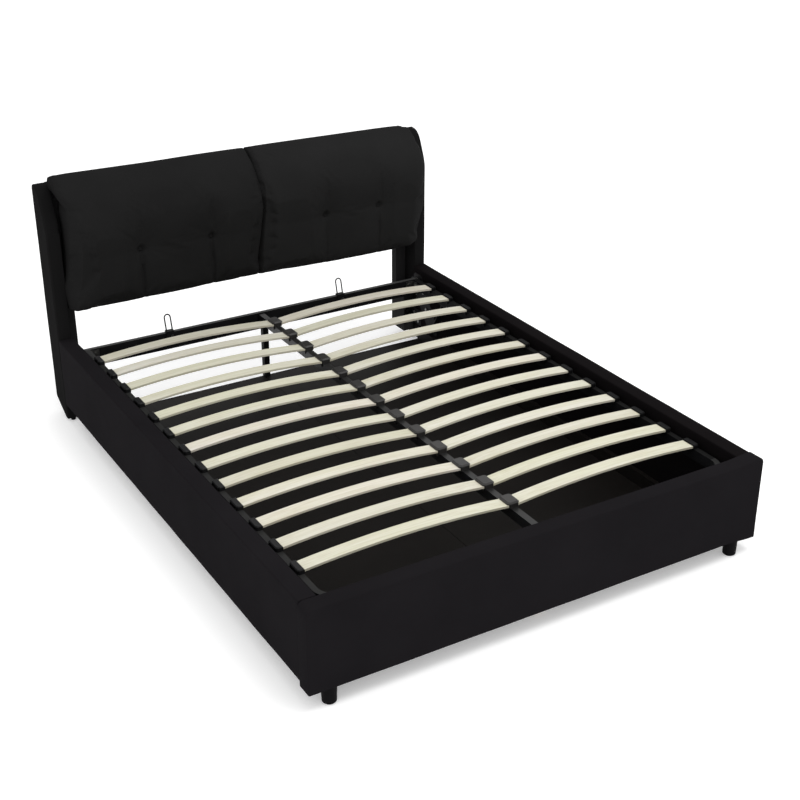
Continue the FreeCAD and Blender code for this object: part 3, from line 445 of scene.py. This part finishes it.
def chipboard(name):
    """Raw chipboard: flat flakes in several browns."""
    paint = Paint(name)
    flakes = paint.node("TexVoronoi", {"Vector": paint.stretched(220.0, 90.0, 140.0), "Scale": 1.0})
    tint = paint.node("SeparateColor", {0: flakes.outputs["Color"]}).outputs[0]
    browns = [(0.0, (0.26, 0.18, 0.1)), (0.5, (0.42, 0.31, 0.19)), (1.0, (0.55, 0.43, 0.28))]
    paint.set(Base_Color=paint.ramp(tint, browns))
    paint.set(Roughness=paint.between(tint, low=0.7, high=0.9), Specular_IOR_Level=0.2)
    paint.bump(flakes.outputs[0], distance=0.0004, strength=0.5)
    return paint.material


def pine(name):
    """Planed softwood with growth rings and darker latewood lines."""
    paint = Paint(name)
    warp = paint.noise(paint.stretched(9.0, 1.2, 9.0), scale=1.0)
    ring_values = {"Vector": paint.stretched(60.0, 1.5, 60.0), "Scale": 1.0, "Distortion": 3.0}
    rings = paint.node("TexWave", ring_values).outputs[1]
    grain = paint.math("MULTIPLY", rings, warp)
    browns = [(0.05, (0.36, 0.23, 0.11)), (0.35, (0.5, 0.35, 0.19)), (0.6, (0.56, 0.41, 0.24))]
    paint.set(Base_Color=paint.ramp(grain, browns))
    paint.set(Roughness=paint.between(grain, low=0.55, high=0.72), Specular_IOR_Level=0.25)
    paint.bump(grain, distance=0.0003, strength=0.4)
    return paint.material


# Finish of each material slot
BLACK_COAT = (0.006, 0.006, 0.0065)
FINISHES = {
    "upholstery": faux_leather(
        "upholstery_finish", dark=(0.0096, 0.0088, 0.0099), light=(0.0116, 0.0106, 0.0119)
    ),
    "cushion": faux_leather(
        "cushion_finish", dark=(0.0112, 0.0111, 0.0112), light=(0.0136, 0.0135, 0.0136)
    ),
    "board": chipboard("board_finish"),
    "back_cloth": woven_backing("back_cloth_finish", tone=(0.012, 0.012, 0.013)),
    "plastic_foot": moulded_plastic(
        "plastic_foot_finish", tone=(0.0045, 0.0042, 0.0047), gloss=0.55, shine=0.03
    ),
    "floor_board": foil_board("floor_board_finish", tone=(0.0069, 0.0059, 0.0053)),
    "batten": pine("batten_finish"),
    "zinc": bare_metal("zinc_finish", tone=(0.26, 0.26, 0.25), gloss=0.3, brushed=0.25),
    "black_steel": coated_steel(
        "black_steel_finish", BLACK_COAT, gloss=0.45, peel=0.3, shine=0.06, dust_and_highlight=0.012
    ),
    "tube_steel": coated_steel(
        "tube_steel_finish", BLACK_COAT, gloss=0.45, peel=0.35, shine=0.06, dust_and_highlight=0.022
    ),
    "chrome": bare_metal("chrome_finish", tone=(0.78, 0.79, 0.80), gloss=0.07, brushed=0.1),
    "wire": bare_metal("wire_finish", tone=(0.03, 0.03, 0.032), gloss=0.32, brushed=0.2),
    "slat_wood": slat_wood("slat_wood_finish"),
    "cap_plastic": moulded_plastic(
        "cap_plastic_finish", tone=(0.008, 0.008, 0.0085), gloss=0.38, shine=0.12
    ),
}

# Nodes that look a little different from the rest of their slot, mostly through painted light and shade
# Paler copy of the upholstery on the uprights: painted light lifting them out of the shade they stand in
PAINTED_LIGHT_UPRIGHT = faux_leather("painted_light_upright_finish", dark=(0.022, 0.0215, 0.022), light=(0.026, 0.0255, 0.026))
OWN_FINISHES = {
    # The head tube's top is lighter still: a painted reflection of the white surround, with some dust
    "base_head_tube": coated_steel(
        "dust_and_reflection_tube_finish", BLACK_COAT, gloss=0.42, peel=0.35, shine=0.08, dust_and_highlight=0.05
    ),
    "base_centre_tube": coated_steel(
        "rubbed_tube_finish", BLACK_COAT, gloss=0.34, peel=0.35, shine=0.3, dust_and_highlight=0.012
    ),
    # Darker right side tube: painted shade where the right rail shades it
    "base_side_tube_right": coated_steel(
        "painted_shade_tube_finish", (0.005, 0.005, 0.0055), gloss=0.5, peel=0.35, shine=0.03, dust_and_highlight=0.008
    ),
    # Darker right edge caps: painted shade from the right rail beside them
    "edge_caps_right": moulded_plastic(
        "painted_shade_cap_finish", tone=(0.005, 0.005, 0.0053), gloss=0.42, shine=0.05
    ),
    # Paler centre caps: a painted highlight for the glints on them
    "centre_caps": moulded_plastic(
        "painted_highlight_cap_finish", tone=(0.018, 0.017, 0.016), gloss=0.36, shine=0.34
    ),
    "headboard_upright_left": PAINTED_LIGHT_UPRIGHT,
    "headboard_upright_right": PAINTED_LIGHT_UPRIGHT,
}

# Padded pieces: painted shade darkens the wings and the right rail, painted light brightens the right cushion
PAINTED_SHADE_WING_FINISH = faux_leather(
    "painted_shade_wing_finish", dark=(0.0080, 0.0078, 0.0080), light=(0.0097, 0.0095, 0.0097)
)
RAIL_FINISHES = {
    "left": FINISHES["upholstery"],
    # Darker right rail: painted shade
    "right": faux_leather(
        "painted_shade_right_rail_finish", dark=(0.0062, 0.0053, 0.0057), light=(0.0075, 0.0065, 0.0069)
    ),
}
CUSHION_FINISHES = {
    "left": FINISHES["cushion"],
    # Paler right cushion: painted light, as if lit more from the right
    "right": faux_leather(
        "right_cushion_finish", dark=(0.0132, 0.0131, 0.0132), light=(0.0158, 0.0157, 0.0158)
    ),
}


def dress_nodes():
    """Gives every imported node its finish, and a rounded edge where its slot has one."""
    for name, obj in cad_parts.items():
        for place in obj.material_slots:
            slot = place.material.name.split(".")[0]
            place.material = OWN_FINISHES.get(name, FINISHES[slot])
            if slot in BEVELS:
                bevel = obj.modifiers.new("rounded", "BEVEL")
                bevel.width = BEVELS[slot]
                bevel.segments = BEVEL_STEPS
                bevel.limit_method = "ANGLE"
                bevel.harden_normals = True


def new_object(name, build):
    """Turns a mesh under construction into an object of the scene."""
    mesh = bpy.data.meshes.new(name)
    build.to_mesh(mesh)
    build.free()
    obj = bpy.data.objects.new(name, mesh)
    scene.collection.objects.link(obj)
    return obj


def welded_copy(name, node):
    """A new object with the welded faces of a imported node."""
    build = bmesh.new()
    build.from_mesh(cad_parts[node].data)
    bmesh.ops.remove_doubles(build, verts=build.verts, dist=WELD)
    return new_object(name, build)


def settle(obj):
    """Applies the modifiers of an object to its mesh."""
    graph = bpy.context.evaluated_depsgraph_get()
    mesh = bpy.data.meshes.new_from_object(obj.evaluated_get(graph))
    obj.modifiers.clear()
    obj.data = mesh


def even_quads(obj, size):
    """Turns the mesh into even quads of about the given size."""
    remesh = obj.modifiers.new("even", "REMESH")
    remesh.mode = "VOXEL"
    remesh.voxel_size = size
    settle(obj)


def points_of(mesh):
    """Vertex places and normals as arrays."""
    places = np.zeros(len(mesh.vertices) * 3, np.float32)
    mesh.vertices.foreach_get("co", places)
    normals = np.zeros(len(mesh.vertices) * 3, np.float32)
    mesh.vertices.foreach_get("normal", normals)
    return places.reshape(-1, 3).astype(float), normals.reshape(-1, 3).astype(float)


def put_points(mesh, places):
    """Moves the vertices of a mesh to the given places."""
    mesh.vertices.foreach_set("co", places.astype(np.float32).ravel())
    mesh.update()


def wave(places, size, seed):
    """Smooth noise from -1 to 1 at each place, with features of the given size."""
    shift = Vector([part * seed for part in SEED_SHIFT])
    return np.array([noise.noise(Vector(place) / size + shift) for place in places])


def smooth_step(value):
    """Rises smoothly from 0 to 1 as the value does."""
    value = np.clip(value, 0.0, 1.0)
    return value * value * (3 - 2 * value)


def bell(value):
    """A smooth hump: 1 where the value is 0, next to nothing beyond 2."""
    return np.exp(-(value ** 2))


def weight_group(obj, name, weights, least):
    """A vertex group with the weights that are above the least one; returns its name."""
    group = obj.vertex_groups.new(name=name)
    for index in np.nonzero(weights > least)[0]:
        group.add([int(index)], float(min(1.0, weights[index])), "REPLACE")
    return group.name


def finish_piece(obj, nodes, finish):
    """Hands a padded piece over: finish, body and the nodes it stands for."""
    obj.data.materials.clear()
    obj.data.materials.append(finish)
    obj.data.polygons.foreach_set("use_smooth", [True] * len(obj.data.polygons))
    obj.data.update()
    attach(obj, "bed_frame")
    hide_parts(*nodes)


def unevenness(obj, seed):
    """Slight waves in a cover, as foam under it gives."""
    places, normals = points_of(obj.data)
    uneven = wave(places, LONG_WAVE, seed) + SHORT_WAVE_SHARE * wave(places, SHORT_WAVE, seed + 1)
    put_points(obj.data, places + normals * (COVER_WAVE * uneven)[:, None])


def rounded_ring(low, high, radii, counts):
    """Points (u, v) round a rectangle, each corner with its own radius, sides split by counts."""
    corners = [
        (low[0], low[1], 1, 1),
        (high[0], low[1], -1, 1),
        (high[0], high[1], -1, -1),
        (low[0], high[1], 1, -1),
    ]
    arcs = []
    for i, ((u, v, inward_u, inward_v), radius) in enumerate(zip(corners, radii)):
        arc = []
        for step in range(CORNER_STEPS + 1):
            angle = math.radians(180 + 90 * i + 90 * step / CORNER_STEPS)
            arc.append((u + radius * (inward_u + math.cos(angle)), v + radius * (inward_v + math.sin(angle))))
        arcs.append(arc)
    ring = []
    for i, arc in enumerate(arcs):
        start = np.array(arc[-1])
        end = np.array(arcs[(i + 1) % 4][0])
        count = counts[i % 2]
        ring += arc + [tuple(start + (end - start) * step / count) for step in range(1, count)]
    return ring


def cover_profile(thickness, edge):
    """Rings of a slab from face to face: how far in from its outline, and how deep, each lies."""
    turns = [math.radians(90 * step / EDGE_STEPS) for step in range(EDGE_STEPS + 1)]
    half = [(inset, 0.0) for inset in COVER_RINGS]
    half += [(edge * (1 - math.sin(turn)), edge * (1 - math.cos(turn))) for turn in turns]
    other_half = [(inset, thickness - depth) for inset, depth in reversed(half)]
    return half + [(0.0, thickness / 2)] + other_half


def padded_slab(name, nodes, thin, radii, edge, seed, finish, wider=0.0, reshape=None):
    """A foam-backed cover pulled over its board: a slab, thin along one axis, with soft edges."""
    low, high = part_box(nodes[0])
    along = 1 - thin
    counts = [max(2, round((high[axis] - low[axis]) / COVER_STEP)) for axis in (along, 2)]
    build = bmesh.new()
    rings = []
    for inset, depth in cover_profile(high[thin] - low[thin], edge):
        smaller = [max(radius - inset, SMALLEST_R) for radius in radii]
        inner_low = (low[along] - wider + inset, low[2] + inset)
        inner_high = (high[along] + wider - inset, high[2] - inset)
        ring = []
        for u, v in rounded_ring(inner_low, inner_high, smaller, counts):
            point = [0.0, 0.0, v]
            point[along] = u
            point[thin] = low[thin] + depth
            ring.append(build.verts.new(point))
        rings.append(ring)
    for ring, following in zip(rings, rings[1:]):
        for i in range(len(ring)):
            build.faces.new((ring[i - 1], ring[i], following[i], following[i - 1]))
    build.faces.new(rings[0])
    build.faces.new(rings[-1])
    bmesh.ops.recalc_face_normals(build, faces=build.faces)
    obj = new_object(name, build)
    unevenness(obj, seed)
    if reshape:
        places, _ = points_of(obj.data)
        reshape(places)
        put_points(obj.data, places)
    finish_piece(obj, nodes, finish)


def loose_foot_end(places):
    """Lets the lower right corner of the footboard's cover hang and the upper one stand up."""
    at_end = smooth_step((places[:, 0] - FOOT_END_X) / FOOT_END_BLEND)
    below = smooth_step((FOOT_MIDDLE_Z - places[:, 2]) / FOOT_BLEND_Z)
    above = smooth_step((places[:, 2] - FOOT_MIDDLE_Z) / FOOT_BLEND_Z)
    places[:, 2] += (FOOT_RISE * above - FOOT_DROP * below) * at_end


def padded_wing(side):
    """A wing of the headboard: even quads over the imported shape, slightly uneven, top slumped."""
    node = "headboard_wing_" + side
    obj = welded_copy("wing_cover_" + side, node)
    even_quads(obj, WING_VOXEL)
    unevenness(obj, WING_SEED)
    places, _ = points_of(obj.data)
    places[:, 2] -= WING_SLUMP[side] * smooth_step((places[:, 2] - WING_SLUMP_Z) / WING_SLUMP_BLEND)
    put_points(obj.data, places)
    finish_piece(obj, [node], PAINTED_SHADE_WING_FINISH)


def crease_weight(places, facing, tuft):
    """How much each point belongs to the sewn crease from a tuft down to the lower edge."""
    below = smooth_step((TUFT_Z + CREASE_START - places[:, 2]) / CREASE_BLEND)
    down = np.clip((TUFT_Z - places[:, 2]) / (TUFT_Z - VALLEY_Z[0]), 0.0, 1.0)
    aside = places[:, 0] - tuft - CREASE_LEAN * down
    return bell(aside / CREASE_HALF) * facing * below


def top_crease_weight(places, facing):
    """How much each point belongs to the short crease near the top of the left cushion."""
    start, end = (np.array(point) for point in TOP_CREASE)
    flat = places[:, [0, 2]]
    share = np.clip((flat - start) @ (end - start) / np.sum((end - start) ** 2), 0.0, 1.0)
    apart = np.linalg.norm(flat - start - share[:, None] * (end - start), axis=1)
    return bell(apart / TOP_CREASE_HALF) * facing * (1 - TOP_CREASE_FADE * share)


def sew_tufts(places, facing, side, back):
    """Fills a cushion's valleys and draws its tufts and creases in; returns how firmly points are held."""
    held = np.zeros(len(places))
    for tuft in TUFTS[side]:
        valley = bell((places[:, 0] - tuft) / VALLEY_SPREAD)
        valley *= np.interp(places[:, 2], VALLEY_Z, VALLEY_SHARE)
        reach = np.hypot(places[:, 0] - tuft, places[:, 2] - TUFT_Z)
        crease = crease_weight(places, facing, tuft)
        places[:, 1] -= VALLEY_FILL * valley * facing
        places[:, 1] += PIT_DEPTH * bell(reach / PIT_R) * facing
        places[:, 1] += CREASE_DEPTH[side] * crease
        in_front = places[:, 1] < back - TUFT_FRONT_DEPTH
        held = np.maximum(held, np.where(in_front & (reach < TUFT_PIN_R), 1.0, 0.0))
        held = np.maximum(held, np.where(crease > CREASE_PIN_LEAST, crease, 0.0))
    if side == "left":
        fold = top_crease_weight(places, facing)
        places[:, 1] += TOP_CREASE_DEPTH * fold
        held = np.maximum(held, np.where(fold > CREASE_PIN_LEAST, fold, 0.0))
    return held


def shape_ends(places, side, outer):
    """Pushes the ends of a cushion forward, aside and down, as the stuffing fills them."""
    at_end = smooth_step(1 - np.abs(places[:, 0] - outer) / END_REACH)
    at_gap = smooth_step(1 - np.abs(places[:, 0] - GAP_X) / GAP_REACH)
    at_middle = bell((places[:, 2] - END_Z) / END_HALF)
    before_wing = smooth_step((WING_FRONT - places[:, 1]) / WING_FRONT_BLEND)
    in_ear = smooth_step((places[:, 2] - EAR_Z) / EAR_BLEND)
    hanging = smooth_step((END_DROP_Z - places[:, 2]) / END_DROP_BLEND)
    end_shift = np.interp(places[:, 2], END_HEIGHTS, END_SHIFTS[side])
    gap_shift = np.interp(places[:, 2], GAP_HEIGHTS, GAP_SHIFTS[side])
    forward = END_FORWARD * at_end + GAP_FORWARD[side] * at_gap
    # The right end passes the wing only in front of it; the left end draws away from its wing
    free = before_wing if side == "right" else 1.0
    places[:, 0] += end_shift * at_end * free
    places[:, 0] += EAR_OUT[side] * at_end * in_ear
    places[:, 0] += gap_shift * at_gap
    places[:, 1] -= forward * at_middle * before_wing
    places[:, 2] -= END_DROP[side] * at_end * hanging
    near_gap = smooth_step(1 - np.abs(places[:, 0] - GAP_X) / GAP_DROP_REACH)
    places[:, 2] -= GAP_DROP * near_gap * hanging


def raise_top(places):
    """Lifts the rolled top slightly, except at the left."""
    at_top = smooth_step((places[:, 2] - TOP_RISE_Z) / TOP_RISE_BLEND)
    places[:, 2] += TOP_RISE * at_top * smooth_step((places[:, 0] - TOP_RISE_X) / TOP_RISE_X_BLEND)


def inflate(obj, held):
    """Blows the cover up like cloth over filling, held at the given points."""
    group = weight_group(obj, "held", held, HELD_LEAST)
    cloth = obj.modifiers.new("cloth", "CLOTH")
    for key, value in CLOTH.items():
        setattr(cloth.settings, key, value)
    cloth.settings.effector_weights.gravity = 0.0
    cloth.settings.vertex_group_mass = group
    cloth.collision_settings.use_collision = False
    for step in range(1, CUSHION_FRAMES + 1):
        scene.frame_set(step)
    before, _ = points_of(obj.data)
    settle(obj)
    obj.vertex_groups.clear()
    after, _ = points_of(obj.data)
    scene.frame_set(1)
    move = after - before
    length = np.linalg.norm(move, axis=1)
    share = np.minimum(1.0, CUSHION_CAP / np.maximum(length, TINY))
    put_points(obj.data, before + move * share[:, None])


def calm_gap(obj):
    """Smooths the small wrinkles that the blowing up leaves beside the gap."""
    places, _ = points_of(obj.data)
    near = smooth_step(1 - np.abs(places[:, 0] - GAP_X) / GAP_REACH)
    group = weight_group(obj, "calm", near, least=0.0)
    calm = obj.modifiers.new("calm", "SMOOTH")
    calm.factor = CALM_FACTOR
    calm.iterations = CALM_STEPS
    calm.vertex_group = group
    settle(obj)
    obj.vertex_groups.clear()


def refine(obj):
    """Splits every face in four and smooths the result."""
    finer = obj.modifiers.new("finer", "SUBSURF")
    finer.levels = 1
    finer.render_levels = 1
    settle(obj)


def cushion(side):
    """One headboard cushion: tufted cover blown up over its filling."""
    node = "headboard_cushion_" + side
    obj = welded_copy("cushion_" + side, node)
    even_quads(obj, CUSHION_VOXEL)
    low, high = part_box(node)
    places, normals = points_of(obj.data)
    at_back = smooth_step((places[:, 1] - (high.y - BACK_DEPTH)) / BACK_BLEND)
    places = places - normals * (CUSHION_START_INSET * (1 - at_back))[:, None]
    facing = smooth_step((-normals[:, 1] - FACING_LEAST) / FACING_BLEND)
    held = np.maximum(at_back, sew_tufts(places, facing, side, high.y))
    shape_ends(places, side, low.x if side == "left" else high.x)
    raise_top(places)
    put_points(obj.data, places)
    inflate(obj, held)
    calm_gap(obj)
    refine(obj)
    finish_piece(obj, [node], CUSHION_FINISHES[side])


def lay_floor():
    """A wide pale floor that glows a little."""
    build = bmesh.new()
    corners = [(-1, -1), (1, -1), (1, 1), (-1, 1)]
    build.faces.new([build.verts.new((FLOOR_HALF * x, FLOOR_HALF * y, 0.0)) for x, y in corners])
    floor = new_object("floor", build)
    paint = Paint("floor_finish")
    paint.set(Base_Color=(FLOOR_TONE, FLOOR_TONE, FLOOR_TONE, 1.0), Roughness=FLOOR_ROUGHNESS)
    paint.set(Specular_IOR_Level=0.0, Emission_Color=WHITE, Emission_Strength=FLOOR_GLOW)
    floor.data.materials.append(paint.material)


def light_up():
    """An even white surround and one large soft light above the foot of the bed."""
    world = bpy.data.worlds.new("surround")
    world.use_nodes = True
    background = world.node_tree.nodes["Background"]
    background.inputs["Color"].default_value = WHITE
    background.inputs["Strength"].default_value = WORLD_STRENGTH
    scene.world = world
    light = bpy.data.lights.new("key", "AREA")
    light.shape = "DISK"
    light.size = KEY_SIZE
    light.energy = KEY_POWER
    key = bpy.data.objects.new("key", light)
    key.location = KEY_PLACE
    key.rotation_euler = (Vector(KEY_AIM) - Vector(KEY_PLACE)).to_track_quat("-Z", "Y").to_euler()
    scene.collection.objects.link(key)


def set_camera():
    """The camera at the viewpoint; tones are shown as they are."""
    lens = bpy.data.cameras.new("camera")
    lens.lens = LENS
    lens.sensor_width = SENSOR
    camera = bpy.data.objects.new("camera", lens)
    azimuth = math.radians(VIEW_AZIMUTH)
    elevation = math.radians(VIEW_ELEVATION)
    level = math.cos(elevation)
    forward = Vector((-math.sin(azimuth) * level, math.cos(azimuth) * level, -math.sin(elevation)))
    camera.location = EYE
    camera.rotation_euler = forward.to_track_quat("-Z", "Y").to_euler()
    scene.collection.objects.link(camera)
    scene.camera = camera
    scene.view_settings.view_transform = "Standard"


lay_floor()
light_up()
set_camera()
dress_nodes()
for side in ("left", "right"):
    cushion(side)
    padded_slab(
        "rail_cover_" + side,
        ["side_rail_cover_" + side, "side_rail_board_" + side],
        thin=0,
        radii=RAIL_CORNERS,
        edge=RAIL_EDGE,
        seed=RAIL_SEED,
        finish=RAIL_FINISHES[side],
    )
    padded_wing(side)
padded_slab(
    "foot_cover",
    ["footboard_cover", "footboard_board"],
    thin=1,
    radii=FOOT_CORNERS,
    edge=FOOT_EDGE,
    seed=FOOT_SEED,
    finish=FINISHES["upholstery"],
    wider=FOOT_WIDER,
    reshape=loose_foot_end,
)
